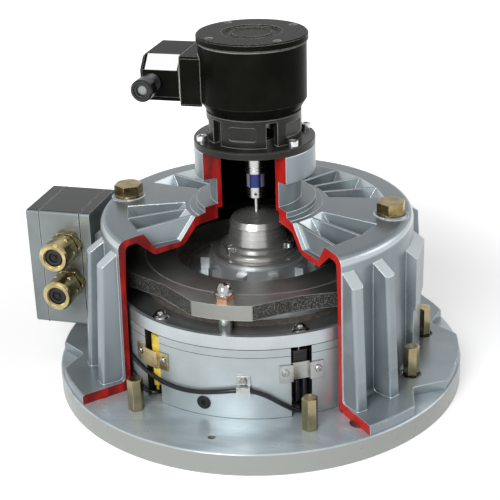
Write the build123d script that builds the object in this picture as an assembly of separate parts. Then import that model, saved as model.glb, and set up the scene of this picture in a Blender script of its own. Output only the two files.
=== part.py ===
from build123d import *
from math import cos, pi, radians, sin, sqrt, tan
import os

os.makedirs("parts", exist_ok=True)

# A spring applied disc brake on a round base flange, under a cast bell housing that carries an encoder.
# The housing is cut open by two upright planes. Millimetres, Z up, the origin on the axis at the underside.
# Angles are measured about the axis from the front, -Y, towards +X. The terminal box points along -X.

# Fits
turning_fit = 0.05       # radial, between a shaft and what it turns in
thread_fit = 0.05        # radial, between a screw and its hole
slip_fit = 0.3           # between pieces that are put together by hand
seal_fit = 0.2           # at each side of the ring seal in its groove
press_fit = 0.02         # radial, between pieces that don't turn on each other
lining_clearance = 0.2   # at each face of the friction disc
air_gap = 0.8            # below the armature plate

# Base flange
base_radius = 200
base_height = 22.2
base_bore_radius = 62
register_radius = 150
register_depth = 5
mount_edge = 25
mount_hole_radius = 9.25
mount_count = 4
jack_hole_radius = 3.6
jack_hole_depth = 17

# Housing
cut_left = -42.2
cut_right = 43.5
foot_ledge = 2
foot_height = 9.8
wall_clearance = 6
wall_thickness = 5.8
wall_draft = 2
shoulder_height = 127
roof_clearance = 42.6
roof_thickness = 6.1
corner_round = 9
neck_radius = 43.3
neck_bore_radius = 38
neck_foot_radius = 57.3
neck_rise = 12.9
collar_radius = 57.4
collar_height = 240
collar_depth = 26
pocket_groups = (18, 108)
pockets_in_group = 4
pocket_pitch = 15
pocket_ridge = 2.2
pocket_inner = 68
pocket_outer = 127
pocket_floor_inner = 86
pocket_floor_outer = 113
pocket_depth = 15.4
pocket_draft = 3
plug_circle = 130
boss_radius = 17
boss_rise = 2.9
plug_thread_radius = 10
plug_flats = 24.5
plug_rim_radius = 13.6
plug_head_height = 11.5
rib_angles = (46.4, 60, 120, 134)
rib_thickness = 12.5
rib_top = 160
rib_reach = 174
rib_top_reach = 166
notch_angle = 10
notch_depth = 21
pad_half_width = 25
pad_rise = 6.5
pad_top = 142.4
pad_low = 92
seal_circle = 151.5
seal_width = 3
seal_height = 2.2

# Long nuts on the foot
pillar_circle = 164
pillar_length = 31.8
pillar_flats = 13
pillar_stud_radius = 4
pillar_recess_radius = 9.8
pillar_sink = 2
pillar_hole_depth = 14
pillar_angles = (30, 75, 105, 150)

# Brake
brake_radius = 141
brake_bore_radius = 50
magnet_height = 62.4
pole_height = 7.6
inner_pole_radius = 82
outer_pole_radius = 108
coil_floor = 28
armature_thickness = 7.5
armature_bore_radius = 60
armature_rim = 4
armature_rim_height = 5
lining_thickness = 5.8
carrier_thickness = 5
lining_inner = 68
lining_outer = 110
counter_thickness = 14.5
counter_radius = 133
counter_bore_radius = 80
counter_groove_radius = 109.5
counter_notch = 119.5
counter_notch_angle = 32
counter_nose_angle = 12
stud_circle = 120
stud_radius = 5
sleeve_radius = 6.4
stud_count = 4
clamp_nut_flats = 15.6
clamp_nut_height = 5.6
clamp_head_radius = 8.2
clamp_dome_radius = 6.8
clamp_dome_height = 8.4
spring_circle = 71
spring_count = 6
spring_radius = 5.6
spring_wire = 1.1
spring_turns = 5
spring_pocket_radius = 7.4
spring_pocket_depth = 34
body_screw_circle = 128
body_screw_radius = 4
body_head_height = 8
stud_depth = 26
side_plug_angle = -6.9
side_plug_height = 35.6
side_plug_radius = 6.7
armature_bolt_circle = 124
armature_bolt_angle = 32
armature_bolt_radius = 3

# Switch windows in the brake's side
slot_angle = 30
slot_width = 19.6
slot_depth = 19
switch_offset = 1.9
switch_width = 9.2
switch_low = 46
switch_shoulder = 79
switch_top = 88
switch_inner = 129
limit_switch_width = 15
limit_switch_low = 61
limit_switch_top = 87
limit_switch_inner = 124
limit_switch_outer = 137
post_radius = 3.4
post_circle = 132.5
post_low = 33
post_top = 86
post_offset = 2.2
post_stem_radius = 1.5
thin_post_radius = 1.2
plunger_radius = 1.6
plunger_circle = 132.5
bracket_gap = 0.3
bracket_sheet = 1.2
bracket_low = 59
bracket_top = 76
bracket_half_angle = 8.4
bracket_fold_angle = 3.7
left_bracket_step = 2.2
right_bracket_step = -4
bracket_screw_radius = 1.5
bracket_screw_angle = 6.2
bracket_screw_height = 69
clip_screw_spot = (8.6, 62)
clip_width = 12.4
bracket_screw_head = 3.4

# Rotor
hub_bore_radius = 24
hub_bore_length = 88
hub_foot_gap = 1.8
hub_neck_radius = 36
hub_radius = 48
hub_rise = 9.7
hub_relief_radius = 15
key_width = 14
key_depth = 3.8
tooth_radius = 56
tooth_count = 10
tooth_turn = -4
tooth_overlap = 2.7
tooth_rise = 6.1
tooth_root_width = 11
tooth_tip_width = 7
adapter_radius = 43.5
adapter_screw_radius = 2.5
adapter_screw_circle = 33.4
adapter_screw_count = 3
adapter_screw_angle = 82
adapter_step = 11
adapter_foot_radius = 29.2
adapter_body_radius = 25.6
adapter_rim_radius = 27
adapter_slope = 2.5
adapter_body_height = 20.5
adapter_cap_height = 12.5
pin_radius = 2.7

# Coupling between the adapter and the encoder's shaft
coupling_gap = 14.5
coupling_lower_radius = 9.1
coupling_lower_height = 10.8
coupling_insert_radius = 8.6
coupling_insert_height = 13.4
coupling_upper_radius = 10
coupling_upper_height = 16

# Encoder
encoder_flange_radius = 57.3
encoder_flange_height = 7.1
leg_height = 25.9
leg_count = 5
leg_angle = 58
leg_inner = 38
leg_outer = 44.5
encoder_radius = 50
encoder_foot_radius = 43.3
encoder_foot_height = 11
encoder_height = 64
encoder_wall = 3
encoder_lid_radius = 51.5
encoder_lid_height = 7.7
encoder_shaft_radius = 5
bearing_radius = 13
bearing_height = 7
code_disc_radius = 36
flange_bolt_radius = 3
flange_bolt_head = 5
flange_bolt_circle = 51
flange_bolt_angle = 58
lid_screw_radius = 1.5
lid_screw_circle = 44.4
side_box_front = -26
side_box_back = 40
side_box_rise = 5.5
side_box_height = 47
side_box_seam = -63
side_box_end = -102
side_gland_rise = 22.5
side_gland_x = -88.8

# Terminal box
box_half_width = 36
box_low = 46.5
box_top = 168
box_plate_thickness = 10
box_gasket_thickness = 1
box_depth = 41.5
box_lid_depth = 14.4
box_wall = 3.5
box_round = 3
box_screw_radius = 2.5
strip_rise = 51.5
strip_drop = 14
strip_depth = 14
terminal_pitch = 9.2
lid_gasket_thickness = 0.8
gland_set_in = 13
gland_heights = (135.5, 95.2)
gland_reach = 39
gland_radius = 14.9
gland_flats = 27
gland_insert_radius = 8.6

# Cables, round ones of rubber
cable_radius = 2.1
cable_circle = 143.75
wall_opening_z = 80
lead_hole_end = 112
lead_angle = -29.4
lead_height = 28
cable_angle = 31
cable_end_height = 26.6

# Places worked out from the sizes above
mount_circle = base_radius - mount_edge
foot_radius = base_radius - foot_ledge
wall_inner_radius = brake_radius + wall_clearance
wall_radius = wall_inner_radius + wall_thickness
shoulder_radius = wall_radius - wall_draft
roof_radius = shoulder_radius - 0.6
pad_reach = wall_radius + pad_rise
box_plate_back = -pad_reach
box_plate_front = box_plate_back - box_plate_thickness
box_back = box_plate_front - box_gasket_thickness
box_seam = box_back - box_depth
box_end = box_seam - box_lid_depth
gland_x = box_back - gland_set_in
foot_top = base_height + foot_height
magnet_top = base_height + magnet_height
pole_top = magnet_top + pole_height
armature_low = pole_top + air_gap
armature_top = armature_low + armature_thickness
rim_top = armature_top + armature_rim_height
disc_low = armature_top + lining_clearance
disc_top = disc_low + 2 * lining_thickness + carrier_thickness
counter_low = disc_top + lining_clearance
counter_top = counter_low + counter_thickness
roof_height = counter_top + roof_clearance
roof_inner_height = roof_height - roof_thickness
pocket_floor_height = roof_height - pocket_depth
boss_height = roof_height + boss_rise
neck_low = roof_height + neck_rise
hub_low = base_height + hub_foot_gap
hub_bore_top = hub_low + hub_bore_length
tooth_low = disc_low - tooth_overlap
tooth_top = disc_top + tooth_rise
hub_top = disc_top + hub_rise
adapter_seat = hub_top + adapter_step
adapter_rim_low = adapter_seat + adapter_body_height
adapter_top = adapter_rim_low + adapter_cap_height
coupling_low = adapter_top + coupling_gap
encoder_flange_top = collar_height + encoder_flange_height
encoder_low = encoder_flange_top + leg_height
encoder_top = encoder_low + encoder_height
side_box_low = encoder_low + side_box_rise
side_box_top = side_box_low + side_box_height
side_gland_height = side_box_low + side_gland_rise
insert_low = coupling_low + coupling_lower_height
insert_top = insert_low + coupling_insert_height


def spot(radius, angle):
    return (radius * sin(radians(angle)), -radius * cos(radians(angle)))


def place(shape, radius, angle, height=0):
    return Rot(0, 0, angle) * Pos(0, -radius, height) * shape


def ring_of(shape, radius, angles, height=0):
    return [place(shape, radius, angle, height) for angle in angles]


def evenly(count, first=0):
    return [first + 360 * step / count for step in range(count)]


def turned(points, rounds=()):
    face = make_face(Polyline(*points, close=True))
    for corner, radius in rounds:
        face = fillet(face.vertices().sort_by_distance((*corner, 0))[0], radius)
    return revolve(Plane.XZ * face, Axis.Z)


def disc(radius, low, high, bore=0):
    outline = Circle(radius)
    if bore > 0:
        outline -= Circle(bore)
    return Pos(0, 0, low) * extrude(outline, high - low)


def sector(inner, outer, first, last, low, high):
    middle = (first + last) / 2
    outline = make_face([
        Line(spot(inner, first), spot(outer, first)),
        ThreePointArc(spot(outer, first), spot(outer, middle), spot(outer, last)),
        Line(spot(outer, last), spot(inner, last)),
        ThreePointArc(spot(inner, last), spot(inner, middle), spot(inner, first)),
    ])
    return Pos(0, 0, low) * extrude(outline, high - low)


def hexagon(flats, low, high, chamfered=0):
    body = Pos(0, 0, low) * extrude(RegularPolygon(flats / 2, 6, major_radius=False), high - low)
    if chamfered > 0:
        corner = flats / sqrt(3)
        reach = chamfered * sqrt(3)
        cone = turned([(0, low), (corner + 1, low), (corner + 1, high - chamfered),
                       (corner + 1 - reach, high - 0.3 * chamfered), (corner - reach, high), (0, high)])
        body = body & cone
    return body


def upright_plate(points, thickness):
    # a flat plate in a plane through the axis, its outline given as radius and height
    face = make_face(Polyline(*points, close=True))
    upright = Plane(origin=(0, 0, 0), x_dir=(0, -1, 0), z_dir=(-1, 0, 0))
    return extrude(upright * face, thickness / 2, both=True)


def box_between(x_low, x_high, y_low, y_high, z_low, z_high):
    size = (x_high - x_low, y_high - y_low, z_high - z_low)
    middle = ((x_low + x_high) / 2, (y_low + y_high) / 2, (z_low + z_high) / 2)
    return Pos(*middle) * Box(*size)


def save(name, shape):
    solids = shape if isinstance(shape, list) else [shape]
    pieces = [solid for item in solids for solid in item.solids()]
    result = pieces[0] if len(pieces) == 1 else Compound(children=pieces)
    export_step(result, "parts/" + name + ".step")
    print(name, len(pieces), "solids", round(sum(piece.volume for piece in pieces) / 1000, 1), "cm3")
    return result


# Base flange with a register for the motor's end, mounting holes and stud holes
def base_flange():
    body = turned([(base_bore_radius, register_depth), (register_radius, register_depth),
                   (register_radius, 0), (base_radius, 0),
                   (base_radius, base_height), (base_bore_radius, base_height)])
    body = chamfer(body.edges().filter_by(GeomType.CIRCLE).sort_by(SortBy.RADIUS)[-2:], 1)
    mount_hole = disc(mount_hole_radius, -1, base_height + 1)
    stud_hole = disc(pillar_stud_radius + thread_fit, base_height - pillar_hole_depth, base_height + 1)
    head_room = disc(body_screw_radius + 3, 0, register_depth + body_head_height + 1)
    screw_hole = head_room + disc(body_screw_radius + slip_fit, 0, base_height + 1)
    body -= ring_of(mount_hole, mount_circle, evenly(mount_count, 45))
    body -= ring_of(disc(jack_hole_radius, base_height - jack_hole_depth, base_height + 1), mount_circle,
                    evenly(mount_count))
    body -= ring_of(stud_hole, pillar_circle, both_sides(pillar_angles))
    body -= ring_of(screw_hole, body_screw_circle, evenly(4, 45))
    return body


def both_sides(angles):
    return [side * angle for angle in angles for side in (1, -1)]


# Bell housing: one casting, cut open between the two planes
def cut_wedge():
    reach = 3 * base_radius
    outline = make_face(Polyline((0, 0), spot(reach, cut_left), spot(reach, cut_right), close=True))
    return extrude(outline, collar_height + 10)


def housing_shell():
    ring_low = neck_low - 6
    ring_radius = neck_foot_radius + 6.7
    outer = [(neck_bore_radius, base_height), (foot_radius, base_height), (foot_radius, foot_top),
             (wall_radius, foot_top), (shoulder_radius, shoulder_height), (roof_radius, roof_height),
             (ring_radius, ring_low - 1.5), (ring_radius, ring_low - 0.9),
             (neck_foot_radius, ring_low), (neck_foot_radius, neck_low - 0.9), (neck_radius, neck_low),
             (neck_radius, collar_height - collar_depth - 1), (collar_radius, collar_height - collar_depth),
             (collar_radius, collar_height), (neck_bore_radius, collar_height)]
    rounds = [((wall_radius, foot_top), 5), ((roof_radius, roof_height), corner_round),
              ((foot_radius, foot_top), 2), ((collar_radius, collar_height), 1),
              ((neck_radius, collar_height - collar_depth - 1), 1.5)]
    under = roof_inner_height
    corner = shoulder_radius - wall_thickness - 2.5
    trough = pocket_floor_height - roof_thickness
    relief = neck_bore_radius + 5.6
    inner = [(neck_bore_radius - 5, base_height - 1), (wall_inner_radius, base_height - 1),
             (wall_inner_radius, foot_top + 4), (shoulder_radius - wall_thickness, shoulder_height),
             (corner, under), (pocket_outer + 4, under + 0.5),
             (pocket_floor_outer + 2, trough + 1.5), (pocket_floor_outer - 1, trough),
             (pocket_floor_inner - 1.3, trough + 1), (pocket_floor_inner - 6.4, trough + 4),
             (pocket_inner, under + 1.5), (pocket_inner - 6, under + 3),
             (relief, under + 4.1), (relief, under + 14.5), (neck_bore_radius - 5, under + 14.5)]
    inner_rounds = [((corner, under), 5)]
    return turned(outer, rounds) - turned(inner, inner_rounds)


def roof_pocket():
    # between two ridges, wide at the roof and narrow at its floor
    half = pocket_pitch / 2
    above = roof_height + 7.4

    def corners(radius, ridge):
        reach = radius * sin(radians(half)) - ridge / 2
        return (reach, -radius * cos(radians(half)))

    top_inner = corners(pocket_inner - 1, pocket_ridge)
    top_outer = corners(pocket_outer + 2, pocket_ridge)
    low_inner = corners(pocket_floor_inner, pocket_ridge + pocket_draft)
    low_outer = corners(pocket_floor_outer, pocket_ridge + pocket_draft)

    def four(inner, outer):
        return make_face(Polyline((-inner[0], inner[1]), (inner[0], inner[1]), (outer[0], outer[1]),
                                  (-outer[0], outer[1]), close=True))

    lower = Pos(0, 0, pocket_floor_height) * four(low_inner, low_outer)
    upper = Pos(0, 0, above) * four(top_inner, top_outer)
    return loft([lower, upper])


def wall_rib():
    inner = wall_radius - 6
    body = upright_plate([(inner, foot_top - 1), (rib_reach, foot_top - 1), (rib_top_reach, rib_top - 10),
                          (wall_radius - 2.8, rib_top + 1), (inner, rib_top)], rib_thickness)
    outside = 1 - min(rib_reach, rib_top_reach)
    outer_edges = body.edges().filter_by(lambda edge: edge.center().Y < outside and edge.length > 60)
    return fillet(outer_edges, 3)


def wall_pad():
    # a flat face on the wall, sloped above and stepped back below
    foot_reach = wall_radius + 4.5
    inner = wall_radius - 7
    outline = [(inner, foot_top - 1), (foot_reach, foot_top - 1), (foot_reach, pad_low - 4),
               (pad_reach, pad_low), (pad_reach, pad_top), (wall_radius - 4, pad_top + 8),
               (inner, pad_top + 8)]
    return upright_plate(outline, 2 * pad_half_width)


def foot_notch():
    half = foot_radius * tan(radians(notch_angle))
    beyond = -foot_radius - 2
    outline = make_face(Polyline((0, notch_depth - foot_radius), (half, beyond), (-half, beyond), close=True))
    notch = Pos(0, 0, base_height - 1) * extrude(outline, foot_height + 2)
    apex = notch.edges().filter_by(Axis.Z).sort_by(Axis.Y)[-1]
    return fillet(apex, 6)


def plug_angles():
    return (90, 180, 270)


def cable_opening():
    # one way through the wall, the plate and the back of the box
    slot = Pos(box_back + 20, -4, wall_opening_z) * Box(60, 26, 22)
    return fillet(slot.edges().filter_by(Axis.X), 8)


def housing_cover():
    body = housing_shell()
    ridges = [first + pocket_pitch * step for first in pocket_groups for step in range(pockets_in_group)]
    pocket = roof_pocket()
    body -= [Rot(0, 0, side * (ridge + pocket_pitch / 2)) * pocket for ridge in ridges for side in (1, -1)]
    rib = wall_rib()
    body += [Rot(0, 0, angle) * rib for angle in both_sides(rib_angles)]
    body += [Rot(0, 0, angle) * wall_pad() for angle in (90, -90)]
    boss_low = roof_inner_height - 2.5
    boss = turned([(0, boss_low), (boss_radius, boss_low), (boss_radius, boss_height - 1.5),
                   (boss_radius - 1.5, boss_height), (0, boss_height)])
    body += ring_of(boss, plug_circle, plug_angles())
    body -= ring_of(disc(plug_thread_radius + thread_fit, boss_low - 16, boss_height + 1), plug_circle,
                    plug_angles())
    body -= [Rot(0, 0, angle) * foot_notch() for angle in evenly(8, 22.5)]
    body -= ring_of(disc(pillar_stud_radius + slip_fit, base_height - 1, foot_top), pillar_circle,
                    both_sides(pillar_angles))
    body -= ring_of(disc(pillar_recess_radius, foot_top - pillar_sink, foot_top + pillar_length),
                    pillar_circle, both_sides(pillar_angles[1:]))
    groove = seal_width / 2 + seal_fit
    groove_top = base_height + seal_height + slip_fit
    body -= disc(seal_circle + groove, base_height - 1, groove_top, seal_circle - groove)
    body -= ring_of(disc(flange_bolt_radius + thread_fit, collar_height - 16, collar_height + 1),
                    flange_bolt_circle, flange_bolt_angles())
    body -= cable_opening()
    for y, z in box_screw_spots():
        body -= Pos(-pad_reach, y, z) * Rot(0, 90, 0) * Cylinder(box_screw_radius + thread_fit, 22)
    body -= cut_wedge()
    return body


def housing_seal():
    body = disc(seal_circle + seal_width / 2, base_height, base_height + seal_height,
                seal_circle - seal_width / 2)
    return body - cut_wedge()


def foot_nut(low):
    nut = hexagon(pillar_flats, low, low + pillar_length, 1)
    return nut - disc(pillar_stud_radius + thread_fit, low - 1, low + pillar_length - 6)


def foot_nuts():
    on_base = ring_of(foot_nut(base_height), pillar_circle, both_sides(pillar_angles[:1]))
    in_foot = ring_of(foot_nut(foot_top - pillar_sink), pillar_circle, both_sides(pillar_angles[1:]))
    return on_base + in_foot


def foot_studs():
    stud = disc(pillar_stud_radius, base_height - pillar_hole_depth + 1, base_height + 22)
    return ring_of(stud, pillar_circle, both_sides(pillar_angles))


def access_plugs():
    plug = hexagon(plug_flats, boss_height + 1.2, boss_height + plug_head_height, 1)
    plug += disc(plug_rim_radius, boss_height, boss_height + 1.4)
    plug += disc(plug_thread_radius, boss_height - 11, boss_height + 0.5)
    return ring_of(plug, plug_circle, plug_angles())


# Magnet body: a turned pot with an inner and an outer pole, the coil's slot, spring pockets and side windows
def side_window(low, high):
    window = Pos(0, -brake_radius, (low + high) / 2) * Box(slot_width, 2 * slot_depth, high - low)
    return [Rot(0, 0, side * slot_angle) * window for side in (1, -1)]


def magnet_body():
    slot_floor = base_height + coil_floor
    body = turned([(brake_bore_radius, base_height), (brake_radius, base_height), (brake_radius, magnet_top),
                   (outer_pole_radius, magnet_top), (outer_pole_radius, slot_floor),
                   (inner_pole_radius, slot_floor), (inner_pole_radius, pole_top),
                   (brake_bore_radius, pole_top)])
    body -= ring_of(disc(spring_pocket_radius, pole_top - spring_pocket_depth, pole_top + 1), spring_circle,
                    evenly(spring_count, 15))
    body -= side_window(base_height - 1, magnet_top + 1)
    body -= ring_of(disc(stud_radius + thread_fit, magnet_top - stud_depth, magnet_top + 1), stud_circle,
                    evenly(stud_count))
    body -= ring_of(disc(body_screw_radius + thread_fit, base_height - 1, base_height + 24),
                    body_screw_circle, evenly(4, 45))
    plug_hole = Rot(90, 0, 0) * Cylinder(side_plug_radius - 1.2 + thread_fit, 26)
    body -= Rot(0, 0, side_plug_angle) * Pos(0, -brake_radius, side_plug_height) * plug_hole
    for angle, height in side_screw_spots():
        body -= side_screw_hole(angle, height)
    lead_hole = Pos(0, -lead_hole_end - 10, 0) * Rot(90, 0, 0) * Cylinder(cable_radius + slip_fit, 20)
    body -= Rot(0, 0, lead_angle) * Pos(0, 0, lead_height) * lead_hole
    body -= Rot(0, 0, cable_angle) * Pos(0, 0, cable_end_height) * lead_hole
    return body


def pole_ring():
    body = disc(brake_radius, magnet_top, pole_top, outer_pole_radius)
    body -= ring_of(disc(stud_radius + slip_fit, magnet_top - 1, pole_top + 1), stud_circle,
                    evenly(stud_count))
    body -= side_window(magnet_top - 1, pole_top + 1)
    return body


def coil():
    return disc(outer_pole_radius - slip_fit, base_height + coil_floor, pole_top - 1.5,
                inner_pole_radius + slip_fit)


def brake_springs():
    low = pole_top - spring_pocket_depth
    height = armature_low - low - 2 * spring_wire - 0.1
    path = Helix(height / spring_turns, height, spring_radius)
    start = Plane(origin=path @ 0, z_dir=path % 0)
    spring = sweep(start * Circle(spring_wire), path, is_frenet=True)
    return ring_of(spring, spring_circle, evenly(spring_count, 15), low + spring_wire + 0.05)


def body_screws():
    head_low = register_depth + 0.6
    screw = disc(body_screw_radius + 2.5, head_low, head_low + body_head_height - 0.2)
    screw -= hexagon(6, head_low - 1, head_low + 4)
    screw += disc(body_screw_radius, head_low + body_head_height - 0.5, base_height + 22)
    return ring_of(screw, body_screw_circle, evenly(4, 45))


def side_plug():
    thread = Pos(0, 0, -6) * Cylinder(side_plug_radius - 1.2, 12)
    head = Pos(0, 0, 0.6) * Cylinder(side_plug_radius, 1.2)
    plug = chamfer((thread + head).edges().sort_by(Axis.Z)[-1], 0.5)
    plug -= Pos(0, 0, -2) * extrude(RegularPolygon(2.6, 6, major_radius=False), 6)
    return Rot(0, 0, side_plug_angle) * Pos(0, -brake_radius, side_plug_height) * Rot(90, 0, 0) * plug


# Studs, sleeves, nuts and the counter plate that they hold above the friction disc
def clamp_studs():
    # each has a collar and a domed head
    low = magnet_top - stud_depth + 1
    seat = counter_top + clamp_nut_height
    dome = seat + 1.4
    rise = clamp_dome_height
    stud = turned([(0, low), (stud_radius, low), (stud_radius, seat), (clamp_head_radius - 0.4, seat),
                   (clamp_head_radius, seat + 0.5), (clamp_dome_radius, dome),
                   (clamp_dome_radius, dome + 0.45 * rise),
                   (clamp_dome_radius - 0.8, dome + 0.7 * rise), (clamp_dome_radius - 2.4, dome + 0.9 * rise),
                   (clamp_dome_radius - 4.6, dome + rise), (0, dome + rise)])
    return ring_of(stud, stud_circle, evenly(stud_count))


def guide_sleeves():
    sleeve = disc(sleeve_radius, pole_top, counter_low, stud_radius + 0.15)
    return ring_of(sleeve, stud_circle, evenly(stud_count))


def clamp_nuts():
    nut = hexagon(clamp_nut_flats, counter_top, counter_top + clamp_nut_height, 1)
    nut -= disc(stud_radius + thread_fit, counter_top - 1, counter_top + clamp_nut_height + 1)
    return ring_of(nut, stud_circle, evenly(stud_count))


def counter_plate():
    # four noses on the studs, and a V-shaped notch over each bolt of the armature
    gap_end = 2 * counter_notch_angle - counter_nose_angle
    outline = []
    start = -counter_nose_angle
    stops = [(start, counter_nose_angle, counter_notch_angle, gap_end),
             (gap_end, 180 - gap_end, 180 - counter_notch_angle, 180 - counter_nose_angle),
             (180 - counter_nose_angle, 180 + counter_nose_angle, 180 + counter_notch_angle, 180 + gap_end),
             (180 + gap_end, 360 - gap_end, 360 - counter_notch_angle, 360 - counter_nose_angle)]
    for first, last, notch, after in stops:
        middle = (first + last) / 2
        outline.append(ThreePointArc(spot(counter_radius, first), spot(counter_radius, middle),
                                     spot(counter_radius, last)))
        outline.append(Line(spot(counter_radius, last), spot(counter_notch, notch)))
        outline.append(Line(spot(counter_notch, notch), spot(counter_radius, after)))
    face = make_face(outline) - Circle(counter_bore_radius)
    body = Pos(0, 0, counter_low) * extrude(face, counter_thickness)
    body -= ring_of(disc(stud_radius + slip_fit, counter_low - 1, counter_top + 1), stud_circle,
                    evenly(stud_count))
    body -= disc(counter_groove_radius + 0.7, counter_top - 0.8, counter_top + 1, counter_groove_radius - 0.7)
    return body


# Armature plate with its raised rim and bolts
def armature_angles():
    return (armature_bolt_angle, -armature_bolt_angle, 180 - armature_bolt_angle, 180 + armature_bolt_angle)


def armature_plate():
    rim_inner = brake_radius - armature_rim
    bore = armature_bore_radius
    body = turned([(bore, armature_low), (brake_radius, armature_low), (brake_radius, rim_top),
                   (rim_inner, rim_top), (rim_inner, armature_top), (bore, armature_top)])
    body -= ring_of(disc(sleeve_radius + slip_fit, armature_low - 1, rim_top), stud_circle,
                    evenly(stud_count))
    body -= ring_of(disc(armature_bolt_radius + thread_fit, armature_low - 1, rim_top), armature_bolt_circle,
                    armature_angles())
    return body


def armature_bolts():
    low = armature_top
    bolt = turned([(0, low), (8, low), (8, low + 0.8), (6.9, low + 1.6), (0, low + 1.6)])
    bolt += hexagon(11, low + 1.2, low + 4, 0.6)
    bolt += turned([(0, low + 3), (4.6, low + 3), (4.4, low + 4.8), (3.2, low + 6.2), (1.4, low + 6.9),
                    (0, low + 7)])
    bolt += disc(armature_bolt_radius, armature_low + 0.5, low + 1)
    return ring_of(bolt, armature_bolt_circle, armature_angles())


# Friction disc: a toothed carrier with a lining on each face
def tooth(root_width, tip_width, root, tip, low, high):
    outline = make_face(Polyline((-root_width / 2, -root), (root_width / 2, -root), (tip_width / 2, -tip),
                                 (-tip_width / 2, -tip), close=True))
    return Pos(0, 0, low) * extrude(outline, high - low)


def disc_carrier():
    low = disc_low + lining_thickness
    high = low + carrier_thickness
    body = disc(lining_outer - 1, low, high, hub_radius + slip_fit)
    gap = tooth(tooth_root_width + 2 * slip_fit, tooth_tip_width + 2 * slip_fit, hub_radius - 2,
                tooth_radius + slip_fit, low - 1, high + 1)
    body -= [Rot(0, 0, angle) * gap for angle in tooth_angles()]
    return body


def tooth_angles():
    return evenly(tooth_count, tooth_turn)


def friction_linings():
    lower = disc(lining_outer, disc_low, disc_low + lining_thickness, lining_inner)
    upper = disc(lining_outer, disc_top - lining_thickness, disc_top, lining_inner)
    return [lower, upper]


# Rotor: toothed hub, adapter, drive pin and coupling
def rotor_hub():
    body = turned([(hub_bore_radius, hub_low), (hub_neck_radius, hub_low), (hub_neck_radius, tooth_low - 6),
                   (hub_radius, tooth_low), (hub_radius, hub_top), (hub_relief_radius, hub_top),
                   (hub_relief_radius, hub_bore_top), (hub_bore_radius, hub_bore_top)])
    key_slot = box_between(-key_width / 2, key_width / 2, 0, hub_bore_radius + key_depth, hub_low - 1,
                           hub_bore_top)
    body -= key_slot
    one = tooth(tooth_root_width, tooth_tip_width, hub_radius - 3, tooth_radius, tooth_low, tooth_top)
    body += [Rot(0, 0, angle) * one for angle in tooth_angles()]
    body -= ring_of(disc(adapter_screw_radius + thread_fit, hub_top - 12, hub_top + 1), adapter_screw_circle,
                    adapter_screw_angles())
    return body


def adapter_screw_angles():
    return evenly(adapter_screw_count, adapter_screw_angle)


def hub_adapter():
    step = adapter_seat
    rim_low = adapter_rim_low
    ledge = hub_top + 7
    bore = pin_radius + press_fit
    body = turned([(20, hub_top), (adapter_radius, hub_top), (adapter_radius, hub_top + 4),
                   (38, hub_top + 4.6), (37.4, ledge), (35.6, ledge), (35.4, step), (31, step),
                   (31, step + 3.6),
                   (adapter_foot_radius, step + 4.4), (adapter_body_radius, rim_low - 0.8),
                   (adapter_rim_radius, rim_low), (adapter_rim_radius, rim_low + 0.8),
                   (adapter_rim_radius - adapter_slope, rim_low + 6.4), (8, adapter_top - 0.6),
                   (6, adapter_top), (bore, adapter_top), (bore, rim_low - 8), (20, rim_low - 8)])
    hole = disc(adapter_screw_radius + slip_fit, hub_top - 1, step + 1) + disc(4.2, step - 1, rim_low - 2)
    body -= ring_of(hole, adapter_screw_circle, adapter_screw_angles())
    return body


def adapter_screws():
    low = adapter_seat - 1
    head = chamfer(disc(3.9, low, low + 4.4).edges().filter_by(GeomType.CIRCLE).sort_by(Axis.Z)[-1], 0.5)
    screw = head + disc(adapter_screw_radius, hub_top - 11, low + 1)
    screw -= hexagon(4, low + 2, low + 6)
    return ring_of(screw, adapter_screw_circle, adapter_screw_angles())


def drive_pin():
    return disc(pin_radius, adapter_rim_low - 7.8, coupling_low + 8)


def coupling_lower():
    top = coupling_low + coupling_lower_height
    bore = pin_radius + press_fit
    body = turned([(bore, coupling_low), (coupling_lower_radius - 0.5, coupling_low),
                   (coupling_lower_radius, coupling_low + 0.5), (coupling_lower_radius, top), (bore, top)])
    screw_hole = Rot(0, 0, 12) * Pos(0, -6, coupling_low + 4.6) * Rot(90, 0, 0) * Cylinder(1.5, 8)
    return body - screw_hole


def coupling_insert():
    return disc(coupling_insert_radius, insert_low, insert_top, 3)


def coupling_upper():
    top = insert_top + coupling_upper_height
    bore = encoder_shaft_radius + press_fit
    body = turned([(bore, insert_top), (coupling_upper_radius - 0.5, insert_top),
                   (coupling_upper_radius, insert_top + 0.5), (coupling_upper_radius, top - 0.5),
                   (coupling_upper_radius - 0.5, top), (bore, top)])
    for height in (insert_top + 3.4, insert_top + 6.2):
        body -= disc(coupling_upper_radius + 1, height, height + 0.9, coupling_upper_radius - 0.8)
    return body


# Encoder
def flange_bolt_angles():
    return both_sides((flange_bolt_angle, 180 - flange_bolt_angle))


def encoder_flange():
    bore = 22
    body = turned([(bore, collar_height - 3), (neck_bore_radius - 0.05, collar_height - 3),
                   (neck_bore_radius - 0.05, collar_height), (encoder_flange_radius - 1, collar_height),
                   (encoder_flange_radius, collar_height + 1),
                   (encoder_flange_radius, encoder_flange_top - 1),
                   (encoder_flange_radius - 1, encoder_flange_top), (bore, encoder_flange_top)])
    leg = sector(leg_inner, leg_outer, -leg_angle / 2, leg_angle / 2, encoder_flange_top - 1, encoder_low)
    relief = Pos(0, -leg_outer - 2, encoder_flange_top + 13) * Box(26, 8, 13)
    leg -= fillet(relief.edges().filter_by(Axis.Y), 3)
    body += [Rot(0, 0, angle) * leg for angle in evenly(leg_count)]
    body += disc(leg_outer, encoder_low - 3, encoder_low, bore)
    body -= ring_of(disc(flange_bolt_radius + slip_fit, collar_height - 1, encoder_flange_top + 1),
                    flange_bolt_circle, flange_bolt_angles())
    return body


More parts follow.
